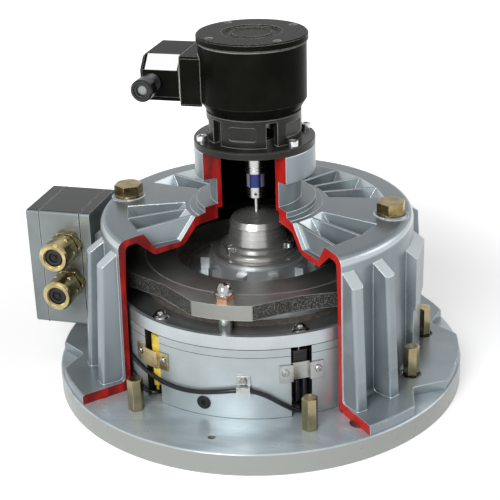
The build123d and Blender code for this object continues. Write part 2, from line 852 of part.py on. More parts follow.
def encoder_flange_bolts():
    low = encoder_flange_top
    head = disc(flange_bolt_head, low, low + 5)
    bolt = chamfer(head.edges().filter_by(GeomType.CIRCLE).sort_by(Axis.Z)[-1], 0.6)
    bolt -= hexagon(5, low + 2.5, low + 6)
    bolt += disc(flange_bolt_radius, collar_height - 14, low + 1)
    return ring_of(bolt, flange_bolt_circle, flange_bolt_angles())


def encoder_body():
    inner = encoder_radius - encoder_wall
    floor = encoder_low + 5
    bearing_bore = bearing_radius + press_fit
    body = turned([(bearing_bore, encoder_low), (encoder_foot_radius, encoder_low),
                   (encoder_radius, encoder_low + encoder_foot_height), (encoder_radius, encoder_top),
                   (inner, encoder_top), (inner, encoder_low + encoder_foot_height + 2),
                   (encoder_foot_radius - encoder_wall, floor), (bearing_radius + 4, floor),
                   (bearing_radius + 4, encoder_low + 18), (bearing_bore, encoder_low + 18)])
    side = box_between(side_box_seam, -36, side_box_front, side_box_back, side_box_low, side_box_top)
    side = chamfer(side.edges().filter_by(Axis.X), 2)
    side -= box_between(side_box_seam - 1, -30, side_box_front + 3, side_box_back - 3, side_box_low + 3,
                        side_box_top - 3)
    body += side - disc(encoder_radius - 1, side_box_low - 1, side_box_top + 1)
    body -= box_between(-encoder_radius - 2, -30, -14, 14, side_box_low + 10, side_box_top - 10)
    for angle in evenly(4, 45):
        body += place(disc(4.4, encoder_top - 14, encoder_top), lid_screw_circle, angle)
        screw_hole = disc(lid_screw_radius + thread_fit, encoder_top - 10, encoder_top + 1)
        body -= place(screw_hole, lid_screw_circle, angle)
    return body


def encoder_lid():
    low = encoder_top + 0.2
    top = encoder_top + 0.2 + encoder_lid_height
    edge = encoder_lid_radius
    body = turned([(0, low), (encoder_radius - encoder_wall - 0.3, low), (encoder_radius - 0.5, low),
                   (edge, low + 1), (edge, top - 1.2), (edge - 1.2, top), (28, top), (27, top - 1.6),
                   (20.6, top - 1.6),
                   (19.6, top - 0.2), (18.4, top - 0.2), (17.6, top - 1), (0, top - 1)])
    hole = disc(lid_screw_radius + slip_fit, low - 1, top + 1) + disc(3.4, top - 3, top + 1)
    body -= ring_of(hole, lid_screw_circle, evenly(4, 45))
    return body


def encoder_lid_screws():
    top = encoder_top + 0.2 + encoder_lid_height
    screw = disc(3, top - 3, top - 0.3) - hexagon(2.5, top - 1.6, top)
    screw += disc(lid_screw_radius, encoder_top - 9, top - 2.6)
    return ring_of(screw, lid_screw_circle, evenly(4, 45))


def encoder_shaft():
    low = insert_top + 3
    shaft = turned([(0, low), (encoder_shaft_radius - 0.5, low), (encoder_shaft_radius, low + 0.5),
                    (encoder_shaft_radius, encoder_low + 18), (8, encoder_low + 18.4), (8, encoder_low + 22),
                    (encoder_shaft_radius, encoder_low + 22), (encoder_shaft_radius, encoder_low + 28),
                    (0, encoder_low + 28)])
    return shaft


def code_disc():
    low = encoder_low + 22
    return disc(code_disc_radius, low, low + 1.5, encoder_shaft_radius + press_fit)


def encoder_bearings():
    bore = encoder_shaft_radius + turning_fit
    lows = (encoder_low + 1, encoder_low + 10)
    return [disc(bearing_radius, low, low + bearing_height, bore) for low in lows]


def encoder_box_lid():
    body = box_between(side_box_end, side_box_seam - 0.4, side_box_front + 1.5, side_box_back - 1.5,
                       side_box_low + 3, side_box_top - 1.5)
    front_top = body.edges().filter_by(Axis.X).sort_by(lambda edge: edge.center().Z - edge.center().Y)[-1]
    body = chamfer(front_top, 12)
    others = body.edges().filter_by(Axis.X).sort_by(lambda edge: edge.center().Z)[:2]
    body = chamfer(others, 5)
    left = body.edges().filter_by(lambda edge: abs(edge.center().X - side_box_end) < 0.01)
    body = chamfer(left, 3)
    room = box_between(side_box_end + 4, side_box_seam, side_box_front + 14, side_box_back - 5,
                       side_box_low + 9, side_box_top - 5)
    room += box_between(side_box_end + 4, side_box_seam, side_box_front + 5, side_box_front + 15,
                        side_box_low + 9, side_box_top - 15)
    body -= room
    return body - along_front(Cylinder(6 + thread_fit, 16), side_gland_x, side_box_front, side_gland_height)


def along_front(shape, x, y, z):
    # turned pieces of a gland: their own Z axis points to the front, -Y
    return Pos(x, y, z) * Rot(90, 0, 0) * shape


def encoder_gland():
    # a threaded shank and a ribbed sleeve, bored through
    profile = [(3.3, -3.5), (6, -3.5), (6, 0), (8, 0), (8, 3)]
    for step in range(5):
        start = 3 + step * 3.2
        profile += [(8.6, start + 0.4), (8.6, start + 1.8), (7.6, start + 2.2), (7.6, start + 3.2)]
    profile += [(7.6, 22), (3.3, 22)]
    return along_front(turned(profile), side_gland_x, side_box_front + 1.5, side_gland_height)


def encoder_gland_nut():
    nut = turned([(7.9, 19.8), (9.6, 19.8), (10.4, 20.6), (10.4, 32.4), (9, 34), (7.4, 34), (6.8, 32.5),
                  (5.2, 32.5), (5.2, 22.3), (7.9, 22.3)])
    return along_front(nut, side_gland_x, side_box_front + 1.5, side_gland_height)


def encoder_gland_plug():
    plug = turned([(0, -3), (3.1, -3), (3.1, 22.4), (5.1, 22.4), (5.1, 29.4), (3.6, 30.8), (0, 31.2)])
    return along_front(plug, side_gland_x, side_box_front + 1.5, side_gland_height)


# Terminal box
def box_screw_spots():
    return [(y, z) for y in (-19, 19) for z in (100, 135)]


def lid_screw_spots():
    edge = 7.5
    side = box_half_width - edge
    return [(y, z) for y in (-side, side) for z in (box_low + edge, box_top - edge)]


def terminal_box():
    body = box_between(box_seam, box_back, -box_half_width, box_half_width, box_low, box_top)
    body = fillet(body.edges().filter_by(Axis.X), box_round)
    inner = box_half_width - box_wall
    body -= box_between(box_seam - 1, box_back - box_wall, -inner, inner,
                        box_low + box_wall, box_top - box_wall)
    post_length = box_back - box_wall - box_seam
    for y, z in lid_screw_spots():
        post = Pos(box_seam + post_length / 2, y, z) * Box(post_length, 9, 9)
        body += post
        body -= Pos(box_seam + 5, y, z) * Rot(0, 90, 0) * Cylinder(2 + thread_fit, 20)
    for y, z in box_screw_spots():
        body -= box_screw_hole(y, z)
    body -= cable_opening()
    for height in gland_heights:
        body -= along_front(Cylinder(8 + thread_fit, 20), gland_x, -box_half_width, height)
    return body


def box_screw_hole(y, z):
    return Pos(box_back, y, z) * Rot(0, 90, 0) * Cylinder(box_screw_radius + slip_fit, 40)


def box_plate():
    # stands between the housing's pad and the box, with the box's outline
    low = foot_top + pillar_length + 1
    body = box_between(box_plate_front, box_plate_back, -box_half_width, box_half_width, low, box_top)
    body = fillet(body.edges().filter_by(Axis.X), box_round) - cable_opening()
    for y, z in box_screw_spots():
        body -= box_screw_hole(y, z)
    return body


def box_gasket():
    edge = box_half_width - 1
    low = foot_top + pillar_length + 2
    body = box_between(box_back, box_plate_front, -edge, edge, low, box_top - 1) - cable_opening()
    for y, z in box_screw_spots():
        body -= box_screw_hole(y, z)
    return body


def box_mount_screws():
    length = box_wall + box_gasket_thickness + box_plate_thickness + 8
    shank = Pos(0, 0, length / 2 - 0.5) * Cylinder(box_screw_radius, length + 1)
    screw = Pos(0, 0, -2) * Cylinder(4.2, 4) + shank
    screw -= Pos(0, 0, -6) * extrude(RegularPolygon(2, 6, major_radius=False), 4)
    return [Pos(box_back - box_wall, y, z) * Rot(0, 90, 0) * screw for y, z in box_screw_spots()]


def box_lid_gasket():
    outer = box_half_width - 0.4
    body = box_between(box_seam - lid_gasket_thickness, box_seam, -outer, outer, box_low + 0.4, box_top - 0.4)
    inner = box_half_width - box_wall
    body -= box_between(box_seam - 5, box_seam + 5, -inner, inner, box_low + box_wall, box_top - box_wall)
    return body


def box_lid():
    seam = box_seam - lid_gasket_thickness
    body = box_between(box_end, seam, -box_half_width, box_half_width, box_low, box_top)
    body = fillet(body.edges().filter_by(Axis.X), box_round)
    body = fillet(body.edges().filter_by(lambda edge: abs(edge.center().X - box_end) < 0.01), 1.5)
    inner = box_half_width - box_wall
    room = box_between(box_end + box_wall, seam + 1, -inner, inner, box_low + box_wall, box_top - box_wall)
    for y, z in lid_screw_spots():
        room -= Pos((box_end + seam) / 2, y, z) * Box(40, 10, 10)
    body -= room
    for y, z in lid_screw_spots():
        body -= Pos(box_end, y, z) * Rot(0, 90, 0) * Cylinder(2 + slip_fit, 60)
        body -= Pos(box_end, y, z) * Rot(0, 90, 0) * Cylinder(4.2, 9)
    return body


def box_lid_screws():
    screw = Pos(0, 0, 2.4) * Cylinder(3.9, 4) + Pos(0, 0, 12) * Cylinder(2, 20)
    screw -= Pos(0, 0, -1) * extrude(RegularPolygon(1.6, 6, major_radius=False), 3.4)
    return [Pos(box_end + 0.1, y, z) * Rot(0, 90, 0) * screw for y, z in lid_screw_spots()]


def gland_bodies():
    shank = turned([(5.2, -9), (8, -9), (8, 0), (13.6, 0), (13.6, 1.2), (11.6, 1.6), (11.6, 12), (11, 12),
                    (11, 26), (5.2, 26)])
    collar = hexagon(gland_flats, 1, 9, 0.8) - disc(5.2, -1, 12)
    lock_nut = Rot(0, 0, 30) * hexagon(18.4, -9, -box_wall - 0.1) - disc(7.5, -12, 0)
    body = shank + collar + lock_nut
    return [along_front(body, gland_x, -box_half_width, height) for height in gland_heights]


def gland_nuts():
    tip = gland_reach
    mouth = gland_insert_radius + 0.1
    nut = turned([(11 + thread_fit, 12.4), (gland_radius - 1.6, 12.4), (gland_radius - 0.6, 13.4),
                  (gland_radius - 0.6, 23), (gland_radius, 24), (gland_radius, tip - 2.6),
                  (gland_radius - 1.8, tip), (mouth + 1.4, tip), (mouth, tip - 1.6), (mouth, 27),
                  (11 + thread_fit, 27)])
    flats = hexagon(gland_flats, 13, 22, 0.8) - disc(11.2, 12, 26)
    return [along_front(nut + flats, gland_x, -box_half_width, height) for height in gland_heights]


def gland_seals():
    tip = gland_reach
    outer = gland_insert_radius
    seal = turned([(0, 22), (5.1, 22), (5.1, 26.2), (outer, 27.1), (outer, tip - 3), (outer - 1.2, tip - 2.2),
                   (5.2, tip - 2.2), (4.2, tip - 4.4), (2.6, tip - 4.4), (1.8, tip - 2.6), (0, tip - 2.6)])
    return [along_front(seal, gland_x, -box_half_width, height) for height in gland_heights]


def terminal_strip():
    back = box_back - box_wall
    low = box_low + strip_rise
    body = box_between(back - strip_depth, back, -14, 14, low, box_top - strip_drop)
    for step in range(6):
        height = low + 5 + step * terminal_pitch
        body -= Pos(back - 12, -8, height) * Box(8, 9, 6)
        body -= Pos(back - 12, 8, height) * Box(8, 9, 6)
    return body


# Switches that read the armature plate, in the side windows
def switch_left():
    # a moulded block with a tapered head, its plunger on top
    half = switch_width / 2
    body = box_between(-half, half, -brake_radius, -switch_inner, switch_low, switch_shoulder)
    middle = (brake_radius + switch_inner) / 2
    depth = brake_radius - switch_inner
    head = loft([Pos(0, -middle, switch_shoulder) * Rectangle(2 * half, depth),
                 Pos(0, -middle, switch_top) * Rectangle(half, depth / 2)])
    body = fillet(body.edges().filter_by(Axis.Z), 1) + head
    body -= Pos(0, -plunger_circle, 0) * plunger_hole(switch_top)
    post = disc(post_radius, post_low, post_top) + disc(post_stem_radius, base_height, post_low + 1)
    return [Rot(0, 0, switch_offset - slot_angle) * body, place(post, post_circle, -slot_angle - post_offset)]


def switch_right():
    half = limit_switch_width / 2
    body = box_between(-half, half, -limit_switch_outer, -limit_switch_inner,
                       limit_switch_low, limit_switch_top)
    body = fillet(body.edges().filter_by(Axis.Z), 2)
    lever_low = limit_switch_top - 0.5
    face = limit_switch_outer
    body += box_between(-half + 1, half - 4, -face - 1.6, -face + 2, lever_low - 5, lever_low)
    body -= Pos(0, -plunger_circle, 0) * plunger_hole(limit_switch_top)
    post = disc(post_radius, post_low, limit_switch_low)
    body += [place(post, post_circle - 3, angle) for angle in (-0.6, 2.7)]
    body += place(disc(thin_post_radius, post_low + 3, limit_switch_low), post_circle, -3)
    return Rot(0, 0, slot_angle) * body


def plunger_hole(top):
    return disc(plunger_radius + turning_fit, top - 6, top + 1)


def plunger(low):
    return Pos(0, -plunger_circle, 0) * disc(plunger_radius, low, armature_low)


def plunger_left():
    return Rot(0, 0, switch_offset - slot_angle) * plunger(switch_top - 5)


def plunger_right():
    return Rot(0, 0, slot_angle) * plunger(limit_switch_top - 5)


def bracket(step):
    # two ears on the brake's side, and a middle that is folded out or in
    inner = brake_radius + bracket_gap
    outer = inner + bracket_sheet
    fold = bracket_fold_angle
    wall = 0.5
    body = sector(inner, outer, fold - wall, bracket_half_angle, bracket_low, bracket_top)
    body += sector(inner, outer, -bracket_half_angle, wall - fold, bracket_low, bracket_top)
    body += sector(inner + step, outer + step, -fold, fold, bracket_low, bracket_top)
    near = min(inner, inner + step)
    far = max(outer, outer + step)
    body += sector(near, far, fold - wall, fold, bracket_low, bracket_top)
    body += sector(near, far, -fold, wall - fold, bracket_low, bracket_top)
    for angle in (-bracket_screw_angle, bracket_screw_angle):
        body -= side_screw_hole(angle, bracket_screw_height)
    return body


def side_screw_spots():
    ears = [(side * slot_angle + ear * bracket_screw_angle, bracket_screw_height)
            for side in (1, -1) for ear in (1, -1)]
    return ears + [clip_screw_spot]


def side_screw_hole(angle, height):
    hole = Cylinder(bracket_screw_radius + thread_fit, 20)
    return Rot(0, 0, angle) * Pos(0, -brake_radius, height) * Rot(90, 0, 0) * hole


def bracket_left():
    return Rot(0, 0, -slot_angle) * bracket(left_bracket_step)


def bracket_right():
    return Rot(0, 0, slot_angle) * bracket(right_bracket_step)


def bracket_screws():
    seat = bracket_gap + bracket_sheet
    screw = turned([(0, seat), (bracket_screw_head, seat), (bracket_screw_head, seat + 1.2),
                    (bracket_screw_head - 0.7, seat + 2), (0, seat + 2.2)])
    screw += disc(bracket_screw_radius, -8, seat + 0.5)
    screw -= Pos(0, 0, seat + 2) * (Box(3.2, 0.8, 1.6) + Box(0.8, 3.2, 1.6))
    return [Rot(0, 0, angle) * Pos(0, -brake_radius, height) * Rot(90, 0, 0) * screw
            for angle, height in side_screw_spots()]


def cable_clip():
    # a folded strip: flat under its screw, and bent out over the cable
    inner = brake_radius + bracket_gap
    outer = inner + bracket_sheet
    cable_outer = cable_circle + cable_radius + 0.3
    strip = [(inner, 67), (outer, 67), (outer, 58.6), (cable_outer + 1.2, 57.4), (cable_outer + 1.2, 49),
             (cable_outer, 49), (cable_outer, 56.6), (outer - 0.4, 57.6), (inner, 57.6)]
    angle, height = clip_screw_spot
    body = Rot(0, 0, angle) * upright_plate(strip, clip_width)
    return body - side_screw_hole(angle, height)


# Cables, held along the brake's side
def tube(points):
    runs = [(Vector(*second) - Vector(*first)) for first, second in zip(points, points[1:])]
    radii = []
    for before, after in zip(runs, runs[1:]):
        turn = radians(before.get_angle(after))
        radii.append(0.45 * min(before.length, after.length) / tan(turn / 2))
    path = FilletPolyline(*points, radius=radii)
    body = sweep(Plane(origin=path @ 0, z_dir=path % 0) * Circle(cable_radius), path)
    ratio = body.volume / (pi * cable_radius ** 2 * path.length)
    print("cable length", round(path.length, 1), "volume ratio", round(ratio, 4), "least radius",
          round(min(radii), 1))
    return body


def on_side(angle, height, radius=cable_circle):
    return (*spot(radius, angle), height)


def cable():
    points = [(box_back - 13.7, -5, 92), (box_back - 5.7, -5, 88), (box_back + 10.3, -4, 85),
              (-143.9, -3, 84), on_side(-80, 81), on_side(-72, 76.4), on_side(-64, 71), on_side(-56, 65.4),
              on_side(-48, 60.6), on_side(-40, 55.6), on_side(-32, 50.4), on_side(-24, 46.6),
              on_side(-16, 45.4), on_side(-8, 46.8), on_side(0, 50.4), on_side(6.5, 53.4), on_side(12, 52.8),
              on_side(17, 47.6), on_side(21.5, 39.6), on_side(25.6, 32.6), on_side(28.8, 28, 142.6),
              on_side(30.6, 26.8, 136),
              on_side(cable_angle, cable_end_height, 128),
              on_side(cable_angle, cable_end_height, lead_hole_end + 1)]
    return tube(points)


def short_lead():
    points = [(box_back - 13.7, 5, 84), (box_back - 5.7, 4, 80), (box_back + 10.3, 0, 77), (-143.9, -2, 76),
              on_side(-80, 72), on_side(-72, 66), on_side(-64, 59), on_side(-56, 52), on_side(-48, 44.6),
              on_side(-41, 37), on_side(-37.2, 31.4), on_side(-33.4, 28.6), on_side(-30.2, lead_height, 139),
              on_side(lead_angle, lead_height, 130), on_side(lead_angle, lead_height, lead_hole_end + 1)]
    return tube(points)


parts = {
    "base_flange": base_flange, "housing_cover": housing_cover, "housing_seal": housing_seal,
    "foot_nuts": foot_nuts, "foot_studs": foot_studs, "access_plugs": access_plugs,
    "magnet_body": magnet_body, "pole_ring": pole_ring, "coil": coil, "brake_springs": brake_springs,
    "body_screws": body_screws, "side_plug": side_plug, "clamp_studs": clamp_studs,
    "guide_sleeves": guide_sleeves, "clamp_nuts": clamp_nuts, "counter_plate": counter_plate,
    "armature_plate": armature_plate, "armature_bolts": armature_bolts, "disc_carrier": disc_carrier,
    "friction_linings": friction_linings, "rotor_hub": rotor_hub, "hub_adapter": hub_adapter,
    "adapter_screws": adapter_screws, "drive_pin": drive_pin, "coupling_lower": coupling_lower,
    "coupling_insert": coupling_insert, "coupling_upper": coupling_upper, "encoder_shaft": encoder_shaft,
    "code_disc": code_disc, "encoder_bearings": encoder_bearings, "encoder_flange": encoder_flange,
    "encoder_flange_bolts": encoder_flange_bolts, "encoder_body": encoder_body, "encoder_lid": encoder_lid,
    "encoder_lid_screws": encoder_lid_screws, "encoder_box_lid": encoder_box_lid,
    "encoder_gland": encoder_gland, "encoder_gland_nut": encoder_gland_nut,
    "encoder_gland_plug": encoder_gland_plug, "terminal_box": terminal_box,
    "box_plate": box_plate, "box_gasket": box_gasket,
    "box_mount_screws": box_mount_screws, "box_lid": box_lid, "box_lid_gasket": box_lid_gasket,
    "box_lid_screws": box_lid_screws, "gland_bodies": gland_bodies, "gland_nuts": gland_nuts,
    "gland_seals": gland_seals, "terminal_strip": terminal_strip, "cable": cable, "short_lead": short_lead,
    "cable_clip": cable_clip, "bracket_left": bracket_left, "bracket_right": bracket_right,
    "bracket_screws": bracket_screws, "switch_left": switch_left, "switch_right": switch_right,
    "plunger_left": plunger_left, "plunger_right": plunger_right,
}
for name, make in parts.items():
    save(name, make())
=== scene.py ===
import bpy
from math import cos, radians, sin
from mathutils import Matrix, Vector

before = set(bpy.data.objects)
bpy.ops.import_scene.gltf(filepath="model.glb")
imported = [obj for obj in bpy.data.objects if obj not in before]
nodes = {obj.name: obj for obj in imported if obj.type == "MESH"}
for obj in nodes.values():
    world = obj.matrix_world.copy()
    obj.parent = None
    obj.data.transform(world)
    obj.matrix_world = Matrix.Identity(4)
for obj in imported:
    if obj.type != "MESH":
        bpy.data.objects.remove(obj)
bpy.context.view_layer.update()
print("frame loaded,", len(nodes), "pieces")


# One value of a shader tree; sums on it add Math nodes
class Wire:
    def __init__(self, tree, socket):
        self.tree = tree
        self.socket = socket

    def maths(self, operation, first, second=0.0):
        return self.tree.add("ShaderNodeMath", {"operation": operation}, {0: first, 1: second})

    def __add__(self, other):
        return self.maths("ADD", self, other)

    def __sub__(self, other):
        return self.maths("SUBTRACT", self, other)

    def __rsub__(self, other):
        return self.maths("SUBTRACT", other, self)

    def __mul__(self, other):
        return self.maths("MULTIPLY", self, other)

    def __truediv__(self, other):
        return self.maths("DIVIDE", self, other)

    def __rtruediv__(self, other):
        return self.maths("DIVIDE", other, self)

    def __pow__(self, other):
        return self.maths("POWER", self, other)

    def __abs__(self):
        return self.maths("ABSOLUTE", self)

    def __gt__(self, other):
        return self.maths("GREATER_THAN", self, other)

    def __lt__(self, other):
        return self.maths("LESS_THAN", self, other)

    def capped(self):
        return self.maths("MINIMUM", self, 1.0)

    __radd__ = __add__
    __rmul__ = __mul__


# The node tree of a material or of the world; add makes all of its new nodes
class Tree:
    def __init__(self, owner):
        owner.use_nodes = True
        self.nodes = owner.node_tree.nodes
        self.links = owner.node_tree.links

    def add(self, kind, settings=None, inputs=None, output=0):
        node = self.nodes.new(kind)
        for key, value in (settings or {}).items():
            if key == "stops":
                self.fillRamp(node.color_ramp, value)
            else:
                setattr(node, key, value)
        for key, value in (inputs or {}).items():
            self.feed(node.inputs[key], value)
        return Wire(self, node.outputs[output])

    def fillRamp(self, ramp, stops):
        while len(ramp.elements) < len(stops):
            ramp.elements.new(0.5)
        for element, (place, colour) in zip(ramp.elements, stops):
            element.position = place
            element.color = (*colour, 1)

    def feed(self, socket, value):
        if isinstance(value, Wire):
            self.links.new(value.socket, socket)
        elif isinstance(value, tuple) and len(value) == 3 and socket.type == "RGBA":
            socket.default_value = (*value, 1)
        else:
            socket.default_value = value

    def beside(self, wire, names):
        # wires from the named outputs of the node that this wire comes from
        outputs = wire.socket.node.outputs
        return [Wire(self, outputs[name]) for name in names]

    def split(self, vector):
        return self.beside(self.add("ShaderNodeSeparateXYZ", {}, {0: vector}), range(3))

    def seenRay(self):
        # 1 where the camera, a reflection or a clear piece looks at it, 0 where it only sends light on
        rays = self.beside(self.add("ShaderNodeLightPath"),
                           ("Is Camera Ray", "Is Glossy Ray", "Is Transmission Ray"))
        return (rays[0] + rays[1] + rays[2]).capped()


# What all materials share; middle is the mean of a noise, and tiny keeps a sum from dividing by nothing
shared = {"rays": 6, "middle": 0.5, "tiny": 0.000001, "edgeLean": (0.04, 0.3), "alongRadius": 0.985}


# One material, read by place (x, y, z) and by the way a face looks (nx, ny, nz)
class Bench(Tree):
    def __init__(self, name):
        self.material = bpy.data.materials.new(name)
        super().__init__(self.material)
        self.shader = self.nodes["Principled BSDF"]
        self.point = self.add("ShaderNodeTexCoord", output="Object")
        self.x, self.y, self.z = self.split(self.point)
        self.facing = self.add("ShaderNodeNewGeometry", output="True Normal")
        self.nx, self.ny, self.nz = self.split(self.facing)

    def set(self, **values):
        for key, value in values.items():
            self.feed(self.shader.inputs[key.replace("_", " ")], value)

    def radius(self):
        # distance from the upright axis
        return (self.x * self.x + self.y * self.y) ** 0.5

    def angle(self):
        # turn round the upright axis, in radians
        return self.y.maths("ARCTAN2", self.y, self.x)

    def outward(self):
        # 1 where a face looks away from the upright axis, -1 where it looks at it
        return (self.nx * self.x + self.ny * self.y) / (self.radius() + shared["tiny"])

    def near(self, value, middle, reach):
        return abs(value - middle) < reach

    def between(self, value, low, high):
        return (value > low) * (value < high)

    def shade(self, reach):
        # open places give 1, deep corners give 0
        settings = {"samples": shared["rays"]}
        return self.add("ShaderNodeAmbientOcclusion", settings, {"Distance": reach}, "AO")

    def noise(self, scale, detail, stretch=None):
        point = self.point
        if stretch:
            point = self.add("ShaderNodeVectorMath", {"operation": "MULTIPLY"}, {0: point, 1: stretch})
        return self.add("ShaderNodeTexNoise", {}, {"Vector": point, "Scale": scale, "Detail": detail})

    def rings(self, period):
        # fine lathe lines: noise that only changes with the distance from the axis and with height
        inputs = {0: self.radius() / period, 1: self.z / period, 2: 0.0}
        along = self.add("ShaderNodeCombineXYZ", {}, inputs)
        return self.add("ShaderNodeTexNoise", {}, {"Vector": along, "Scale": 1.0, "Detail": 2.0})

    def step(self, value, low, high):
        # rises softly from 0 at low to 1 at high
        return self.add("ShaderNodeMapRange", {"interpolation_type": "SMOOTHSTEP"},
                        {"Value": value, "From Min": low, "From Max": high})

    def blend(self, amount, first, second):
        return self.add("ShaderNodeMix", {"data_type": "RGBA"}, {0: amount, 6: first, 7: second}, 2)

    def tint(self, value, stops):
        return self.add("ShaderNodeValToRGB", {"stops": stops}, {0: value})

    def bump(self, height, strength, depth, normal=None):
        inputs = {"Height": height, "Strength": strength, "Distance": depth}
        if normal:
            inputs["Normal"] = normal
        return self.add("ShaderNodeBump", {}, inputs)

    def rounded(self, radius):
        return self.add("ShaderNodeBevel", {"samples": shared["rays"]}, {"Radius": radius})

    def edges(self, radius):
        # how far a rounded edge would lean away from the flat face: 0 on faces, up to 1 on sharp edges
        inputs = {0: self.rounded(radius), 1: self.facing}
        lean = 1.0 - self.add("ShaderNodeVectorMath", {"operation": "DOT_PRODUCT"}, inputs, "Value")
        return self.step(lean, *shared["edgeLean"])

    def turnedNormal(self):
        # the facets of a turned wall look along the radius: the level part of the normal is turned onto it
        level = (self.nx * self.nx + self.ny * self.ny) ** 0.5
        radius = self.radius()
        along = (self.nx * self.x + self.ny * self.y) / (level * radius + shared["tiny"])
        side = (along > 0.0) * 2.0 - 1.0
        scale = side * level / radius
        smooth = self.add("ShaderNodeCombineXYZ", {}, {0: self.x * scale, 1: self.y * scale, 2: self.nz})
        return self.add("ShaderNodeMix", {"data_type": "VECTOR"},
                        {0: abs(along) > shared["alongRadius"], 4: self.facing, 5: smooth}, 1)


def scaled(colour, gain):
    return tuple(min(1.0, part * gain) for part in colour)


def dress(bench, names):
    for name in names:
        slots = nodes[name].data.materials
        slots.clear()
        slots.append(bench.material)


def dressAll(finish, looks):
    # each look is a material: the settings of the finish, and "on", the pieces that get it
    for name, look in looks.items():
        settings = dict(look)
        pieces = settings.pop("on")
        dress(finish(name, **settings), pieces)


# In the settings a noise is (scale, detail) or (scale, detail, stretch), a pair of numbers is where
# something starts and where it ends or is full, a lean is the upright part of the way a face looks,
# and lengths are in metres

# Section faces of the housing: two upright planes through the axis, painted with a broad brush; the right
# plane is painted lighter than the left, painted light
section = {"angles": (-42.2, 43.5), "skin": 0.00012, "ahead": 0.01, "red": (0.15, 0.003, 0.003),
           "redLight": (0.55, 0.016, 0.012), "rightLitGain": 0.7, "streaks": (90.0, 4.0, (1.0, 1.0, 0.3)),
           "streakTones": (0.4, 0.8), "rougher": 0.02, "smoother": 0.7}

# The inside of the bell, painted near black as painted shade
bell = {"tone": (0.002, 0.002, 0.002), "rougher": 0.25, "underLean": -0.05, "underRadius": 0.1475,
        "underHeights": (0.033, 0.19), "inward": -0.3, "wallRadii": (0.1, 0.1476), "wallTop": 0.158,
        "boreRadius": 0.046}

# Painted highlight: the slopes of ribs, pads and pockets are painted bright, but not the round edge of the
# roof
slopeHighlights = {"tone": (0.66, 0.715, 0.735), "amount": 0.7, "from": (0.04, 0.16), "to": (0.8, 0.95),
          "roofEdge": 0.1375, "roofEdgeReach": 0.0105, "above": 0.06}

# Cast and painted pieces; grain only shows in the relief. Level tops and deep corners are painted darker
# as painted shade, and edges are painted bright as a painted highlight
castPaint = {"light": (0.29, 0.335, 0.36), "dark": (0.22, 0.26, 0.285), "cloud": (14.0, 3.0),
             "tones": (0.34, 0.66), "top": 0.72, "topLean": (0.75, 0.97), "topAbove": 0.12,
             "corner": 0.5, "cornerReach": 0.018, "cornerOpen": (0.2, 0.75),
             "edge": (0.9, 0.95, 0.97), "edgeAmount": 0.75, "edgeRadius": 0.002, "rounding": 0.6,
             "roughness": 0.28, "roughCloud": 0.06, "metallic": 0.45, "gloss": 0.3,
             "grain": (480.0, 3.0), "relief": 0.2, "depth": 0.0004}
# the box's top is painted much darker still, painted shade
boxPaint = dict(castPaint, light=(0.24, 0.27, 0.275), dark=(0.17, 0.19, 0.19), top=0.1, edgeRadius=0.0014,
                roughness=0.34, metallic=0.25, grain=(620.0, 3.0), relief=0.12)


def onSection(bench):
    # within the skin of one of the two planes, and in front of the axis
    found = 0.0
    for angle in section["angles"]:
        turn = radians(angle)
        away = bench.x * cos(turn) + bench.y * sin(turn)
        ahead = bench.x * sin(turn) - bench.y * cos(turn)
        found = found + (abs(away) < section["skin"]) * (ahead > section["ahead"])
    return found


def inBell(bench):
    # undersides, the wall seen from within, and the bore of the neck
    radius = bench.radius()
    under = (bench.nz < bell["underLean"]) * (radius < bell["underRadius"])
    under = under * bench.between(bench.z, *bell["underHeights"])
    inward = bench.outward() < bell["inward"]
    wall = inward * bench.between(radius, *bell["wallRadii"]) * (bench.z < bell["wallTop"])
    bore = inward * (radius < bell["boreRadius"])
    return (under + wall + bore).capped()


def onSlope(bench):
    found = bench.step(bench.nz, *slopeHighlights["from"]) * (1.0 - bench.step(bench.nz, *slopeHighlights["to"]))
    offEdge = abs(bench.radius() - slopeHighlights["roofEdge"]) > slopeHighlights["roofEdgeReach"]
    return found * offEdge * (bench.z > slopeHighlights["above"])


